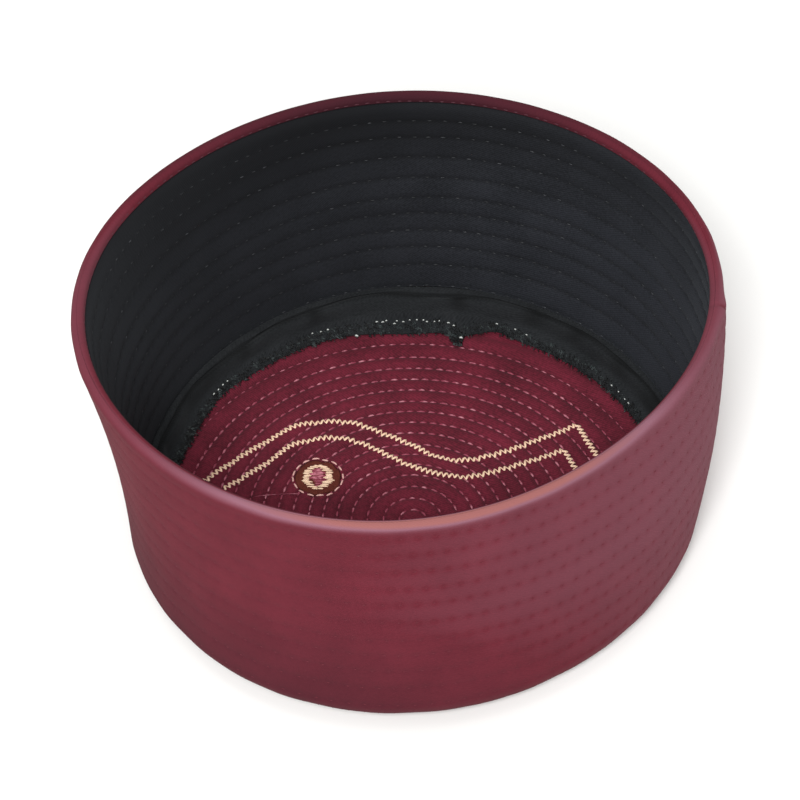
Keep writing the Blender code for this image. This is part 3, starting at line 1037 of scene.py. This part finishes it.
def ring_stitches(depth, up, size, seed):
    """Stitches along all the rings, where the rings are on the crown."""
    draw = np.random.default_rng(seed)
    flat, alongs = [], []
    for radius, count, phase in zip(RING_RADII, ring_counts, ring_phases):
        bearing = (math.tau * np.arange(count) + phase) / count + draw.normal(0, 0.15 / radius, count)
        flat += list(RING_CENTRE + radius * ray(bearing))
        alongs += [(-math.sin(b), math.cos(b), 0) for b in bearing]
    places, nominal = on_crown(flat, depth)
    kept = [index for index in range(len(flat)) if nominal[index] < EDGE_RADIUS - 8]
    sizes = [(size[0] * draw.uniform(0.8, 1.1), size[1], size[1]) for _ in kept]
    return places[kept], [alongs[index] for index in kept], [(0, 0, up)] * len(kept), sizes


ring_floor = CROWN - RING_SWELL - RING_DENT
strew("crown_stitches", stitch,
      *ring_stitches(ring_floor + RING_THREAD["raised"], 1, RING_THREAD["size"], 34),
      lilac_thread, "crown_cloth")
strew("crown_stitches_under", fine_stitch,
      *ring_stitches(UNDER_THREAD["height"], -1, UNDER_THREAD["size"], 35),
      lilac_thread, "crown_cloth")

# %% [markdown]
# # Overlocked edge
# The cut edge on the crown is bound with black overlock thread. It was trimmed and handled, so it no
# longer reads as neat strands: loops and ends lie every way, and a ragged fringe of them reaches onto the
# crown. We strew short strands at random, most of them slanted, and a second set of loose ends.

# %% Overlock threads
BINDING = {"count": 3000, "low": -0.735, "high": -0.63, "length": (1.1, 2.4)}
FRINGE = {"count": 260, "low": -0.755, "high": -0.725, "length": (0.7, 1.6)}
STRAND_SLANT = math.radians(62)
STRAND_SPREAD = math.radians(24)
STRAND_WIDTH, STRAND_HEIGHT = 0.28, 0.4


def roll_surface(run):
    """Depth of the roll's face at a run, without its creases."""
    runs = [point["run"] for point in ROLL_FACE][::-1]
    depths = [point["depth"] for point in ROLL_FACE][::-1]
    return np.interp(run, runs, depths)


def scatter_strands(facts, seed, lift):
    """Places, directions, ups and sizes of random short strands on the roll between two runs."""
    draw = np.random.default_rng(seed)
    count = facts["count"]
    bearing = draw.uniform(0, math.tau, count)
    ragged = 0.010 * ripple(bearing, 0 * bearing, (17, 31, 53, 88), seed)
    run = draw.uniform(facts["low"], facts["high"], count) + ragged
    depth = np.maximum(roll_surface(run), CROWN + 0.35) + lift + draw.uniform(-0.1, 0.25, count)
    run = slipped(bearing, run)
    here = shell(bearing, run, depth)
    round_way = unit(shell(bearing + 0.002, run, depth) - here)
    up_way = unit(shell(bearing, run + 0.004, depth) - here)
    slant = draw.normal(STRAND_SLANT, STRAND_SPREAD, count)[:, None]
    along = round_way * np.cos(slant) + up_way * np.sin(slant)
    length = draw.uniform(*facts["length"], count)
    sizes = np.stack([length, 0 * length + STRAND_WIDTH, 0 * length + STRAND_HEIGHT], -1)
    return here, along, inward(bearing, run), sizes


strew("overlock_threads", fine_stitch, *scatter_strands(BINDING, 36, 0.1), overlock_thread, "overlock")
strew("overlock_fringe", fine_stitch, *scatter_strands(FRINGE, 37, 0.05), overlock_thread, "overlock")

# %% [markdown]
# # Bobbin flecks
# Along the upper side of the binding the white bobbin thread shows as small flecks, close together at
# the back and fewer at the sides. They are the same small stitch, shorter and thicker. Their bearings are
# given one by one, because the eye knows them by their groups and gaps.

# %% Flecks
FLECK_BEARINGS = (115.3, 113.2, 111.4, 99.4, 98.0, 97.1, 95.3, 94.6, 93.1, 91.5, 89.8, 88.2, 87.4, 85.6,
                  84.4, 82.2, 80.9, 70.6, 66.0, 63.0, 140.9, 142.5, 144.3, 146.1, 37.5, 34.9, 32.3, 30.8)
BIG_FLECKS = ((-19.7, 78.4), (16.2, 77.9))

draw = np.random.default_rng(38)
fleck_bearing = np.radians(FLECK_BEARINGS)
fleck_run = np.where(fleck_bearing < 1, -0.67, -0.635) + draw.normal(0, 0.008, len(fleck_bearing))
fleck_depth = roll_surface(fleck_run) + 0.45
fleck_run = slipped(fleck_bearing, fleck_run)
fleck_place = shell(fleck_bearing, fleck_run, fleck_depth)
fleck_along = shell(fleck_bearing + 0.01, fleck_run, fleck_depth) - fleck_place
fleck_sizes = [(draw.uniform(0.5, 1.0), draw.uniform(0.36, 0.54), 0.5) for _ in fleck_bearing]
big_place, _ = on_crown(RING_CENTRE + np.array(BIG_FLECKS), CROWN + 2.2)
strew("bobbin_flecks", stitch, list(fleck_place) + list(big_place),
      list(fleck_along) + [(1, -0.2, 0)] * 2, list(inward(fleck_bearing, fleck_run)) + [(0, 0, 1)] * 2,
      fleck_sizes + [(1.2, 0.7, 0.6)] * 2, white_thread, "overlock")

# %% [markdown]
# # Tuft and loose thread
# At one point of the back a tuft of loose ends hangs onto the crown, narrow at its tip, and on the left
# one long thread end lies across the rings. The tuft is a cone of strands that mostly point down it.

# %% Tuft and loose end
TUFT = {"x": 14.8, "low": 75.4, "high": 81.8, "half": (1.1, 3.6), "count": 240}
LOOSE_END = ((-49.4, 8.9), (-42.0, 9.9), (-35.1, 10.1))

tuft_share = draw.uniform(0, 1, TUFT["count"]) ** 0.8
tuft_half = TUFT["half"][0] + (TUFT["half"][1] - TUFT["half"][0]) * tuft_share
tuft_flat = np.stack([TUFT["x"] + tuft_half * draw.uniform(-1, 1, TUFT["count"]),
                      TUFT["low"] + (TUFT["high"] - TUFT["low"]) * tuft_share], -1)
tuft_place, _ = on_crown(RING_CENTRE + tuft_flat, CROWN + 0.4)
tuft_place[:, 2] += draw.uniform(0, 1.2, TUFT["count"])
tuft_slant = draw.normal(math.radians(-100), 0.5, TUFT["count"])
strew("tuft", fine_stitch, tuft_place, [(math.cos(a), math.sin(a), -0.15) for a in tuft_slant],
      UP, [(draw.uniform(0.9, 2.0), 0.3, 0.4) for _ in tuft_slant], overlock_thread, "overlock")

loose_flat = RING_CENTRE + np.array(LOOSE_END)
loose_place, _ = on_crown((loose_flat[1:] + loose_flat[:-1]) / 2, CROWN + 0.12)
loose_along = [(*step, 0) for step in np.diff(loose_flat, axis=0)]
strew("loose_end", stitch, loose_place, loose_along, UP,
      [(1.06 * np.linalg.norm(step), 0.24, 0.2) for step in loose_along], lilac_thread, "crown_cloth")

# %% [markdown]
# # Gold border
# Two lines of zigzag stitch in pale gold rayon run across the crown: a long wave that ends in a sharp
# corner. The photograph shows one half. The other half is the same line turned half round about the ring
# centre, as such borders are usually closed.

# %% Gold lines
# Millimetres right and away from the ring centre.
OUTER_WAVE = ((-73.5, 8.6), (-65.0, 16.1), (-54.4, 26.0), (-43.6, 35.0), (-36.4, 40.0), (-28.2, 41.5),
              (-19.6, 41.3), (-10.3, 36.9), (-1.1, 31.9), (7.7, 26.4), (16.5, 24.7), (23.4, 26.4),
              (31.4, 29.5), (38.4, 33.0), (46.5, 36.9), (52.3, 40.2))
INNER_WAVE = ((-63.0, 9.0), (-58.6, 12.7), (-50.4, 19.5), (-43.4, 26.0), (-37.5, 31.6), (-28.4, 34.3),
              (-22.4, 34.3), (-14.4, 31.2), (-7.1, 26.4), (-1.2, 22.7), (4.8, 19.9), (10.7, 18.2),
              (17.0, 17.6), (24.5, 19.5), (32.5, 22.5), (40.1, 25.6), (47.8, 29.0))
OUTER_END = (58.4, 25.6)
INNER_END = (51.2, 20.4)

# %% [markdown]
# We walk along a smooth curve through the points and set one slanted thread for each limb of the zigzag:
# every other limb is laid double and looks heavier. A thread a limb keeps the corners sharp, which one
# long bent cord would not.

# %% Zigzag helpers
ZIGZAG_STEP = 0.87
ZIGZAG_HALF = 1.0


def half_turn(places):
    """Places about the ring centre, turned half round."""
    return [(-x, -y) for x, y in places]


def smooth_curve(places, step):
    """Evenly spaced points of a smooth curve through places, in millimetres."""
    chain = [2 * Vector(places[0]) - Vector(places[1])] + [Vector(p) for p in places]
    chain.append(2 * Vector(places[-1]) - Vector(places[-2]))
    dense = []
    for a, b, c, d in zip(chain, chain[1:], chain[2:], chain[3:]):
        for t in np.linspace(0, 1, 24, endpoint=False):
            dense.append(0.5 * (2 * b + (c - a) * t + (2 * a - 5 * b + 4 * c - d) * t ** 2
                                + (3 * b - a - 3 * c + d) * t ** 3))
    dense = np.array(dense + [chain[-2]])
    length = np.concatenate([[0], np.cumsum(np.linalg.norm(np.diff(dense, axis=0), axis=-1))])
    at = np.linspace(0, length[-1], max(2, round(length[-1] / step)))
    return np.stack([np.interp(at, length, dense[:, axis]) for axis in (0, 1)], -1)


def zigzag_limbs(line, seed):
    """Middle and direction of each limb of a zigzag along a line of even points."""
    draw = np.random.default_rng(seed)
    ahead = unit(np.gradient(line, axis=0))
    side = np.stack([-ahead[:, 1], ahead[:, 0]], -1)
    swing = np.where(np.arange(len(line)) % 2, 1, -1)[:, None] * ZIGZAG_HALF
    corners = line + side * (swing + draw.normal(0, 0.07, swing.shape))
    return (corners[1:] + corners[:-1]) / 2, np.diff(corners, axis=0)


def gold_lines():
    """The lines of the border as lists of places: both waves, their short ends, and their half turns."""
    lines = []
    for wave, end in ((OUTER_WAVE, OUTER_END), (INNER_WAVE, INNER_END)):
        short = [wave[-1], end, half_turn([wave[0]])[0]]
        lines += [list(wave), short, half_turn(wave), half_turn(short)]
    return [smooth_curve(line, ZIGZAG_STEP) for line in lines]

# %% [markdown]
# The zigzag lies on the pad but sinks a little into each ring's valley, so we take off a share of the
# relief.

# %% Gold border
middles, limbs = zip(*(zigzag_limbs(line, 40 + index) for index, line in enumerate(gold_lines())))
middles = RING_CENTRE + np.concatenate(middles)
limbs = np.concatenate(limbs)
heavy = np.arange(len(limbs)) % 2 == 0
print("limbs of the zigzag", len(limbs), "of", round(float(np.linalg.norm(limbs, axis=-1).mean()), 1), "mm")
gold_places, _ = on_crown(middles, CROWN + 0.12 - 0.6 * ring_relief(middles, RING_SWELL, RING_DENT))
gold_sizes = [(np.linalg.norm(limb) + 0.3, 0.85 if big else 0.36, 0.6 if big else 0.4)
              for limb, big in zip(limbs, heavy)]
gold_along = [(limb[0], limb[1], 0) for limb in limbs]
strew("gold_border", stitch, gold_places, gold_along, UP, gold_sizes, gold_thread, "crown_cloth")

# %% [markdown]
# # Eyelets
# In each bend of the border sits a small disc of satin stitch in the gold thread, with a rose middle and a
# ring of running stitch round it. Satin stitch is sewn over a bed of dark underlay threads, which shows
# as a dark ring round the disc and between its threads; that dark brown is part real underlay and part
# painted shade. So the bed is a thin disc of its own, a grid wrapped round the eyelet's middle and laid on
# the crown's relief.

# %% Eyelets
EYELET = (-29.7, 17.3)
DISC = 5.2
MIDDLE_X, MIDDLE_Y = 2.3, 3.9
SATIN_PITCH = 0.7
SATIN_WIDTH = 0.64
BED = 7.3
RUNNING_RING = 7.85
RUNNING_STITCH = (2.5, 0.6, 0.5)
# Rose rayon shines softly. Underlay is dark thread that gives the disc its outline; its dark brown is part
# real underlay and part painted shade.
rose_satin = thread("rose embroidery rayon", "#B24A5E", "#862E44", 0.4, "#D88896", 0.6)
cream_thread = thread("cream pink sewing thread", "#FFE6DC", "#D0A098", 0.4)
underlay_and_shade = cloth("dark brown underlay thread", ("#602A20", "#481B15", "#140A08", "#6A3024", "#6A3024"),
                 grain=1.0, mottle=1.0, gloss=0.2, sheen=0.05, sheen_tint="#806050")


def satin_rows(centre, seed):
    """Level satin stitches of the disc, each side of its middle, and the middle's own stitches."""
    draw = np.random.default_rng(seed)
    gold, rose = [], []
    for level in np.arange(-DISC + 0.3, DISC, SATIN_PITCH):
        half = math.sqrt(DISC ** 2 - level ** 2) + draw.uniform(-0.35, 0.25)
        hole = MIDDLE_X * math.sqrt(max(0, 1 - (level / MIDDLE_Y) ** 2))
        if hole:
            rose.append((centre[0], centre[1] + level, 2 * hole + 1.4))
        for side in (-1, 1):
            inner = hole + draw.uniform(-0.8, 0.8) * bool(hole)
            if half - inner > 0.4:
                gold.append((centre[0] + side * (half + inner) / 2, centre[1] + level, half - inner + 0.3))
    return gold, rose

# %% [markdown]
# The bed is made once for each eyelet, then the satin, the middle and the running stitch go on top.

# %% Eyelet pieces
def add_bed(name, centre):
    """A thin round bed of underlay and painted shade that follows the crown's relief."""
    def bed_points(bearing, radius, lift):
        flat = centre + radius[:, None] * ray(bearing)
        rim = np.clip((BED - radius) / 0.6, 0, 1)
        depth = CROWN + lift * rim - (1 - 0.42 * rim) * ring_relief(flat, RING_SWELL, RING_DENT)
        return on_crown(flat, depth)[0], flat[:, 0], flat[:, 1], 0 * radius

    radii = np.linspace(0, BED, 14)
    profile = [(radius, -0.3) for radius in radii] + [(radius, 0.15) for radius in radii[::-1]]
    return add_piece(name, wrap_grid(name, profile, 72, bed_points), underlay_and_shade)


satin_draw = np.random.default_rng(60)
for index, place in enumerate((EYELET, half_turn([EYELET])[0])):
    centre = RING_CENTRE + np.array(place)
    add_bed(f"eyelet_bed_{index + 1}", centre)
    gold, rose = satin_rows(centre, 50 + index)
    for label, rows, look, lift in (("satin", gold, gold_thread, 0.25), ("middle", rose, rose_satin, 0.12)):
        flat = np.array(rows)
        depth = CROWN + lift - 0.4 * ring_relief(flat[:, :2], RING_SWELL, RING_DENT)
        places, _ = on_crown(flat[:, :2], depth)
        places[:, 1] += satin_draw.uniform(-0.12, 0.12, len(flat))
        strew(f"eyelet_{label}_{index + 1}", stitch, places,
              [(1, slant, 0) for slant in satin_draw.uniform(-0.1, 0.1, len(flat))],
              UP, [(length, SATIN_WIDTH, 0.5) for length in flat[:, 2]], look, "crown_cloth")
    turn = np.linspace(0, math.tau, 16, endpoint=False) + 0.1
    ring = centre + RUNNING_RING * ray(turn)
    places, _ = on_crown(ring, CROWN + 0.12 - 0.6 * ring_relief(ring, RING_SWELL, RING_DENT))
    strew(f"eyelet_ring_{index + 1}", stitch, places, [(-math.sin(a), math.cos(a), 0) for a in turn],
          UP, [RUNNING_STITCH] * len(turn), cream_thread, "crown_cloth")
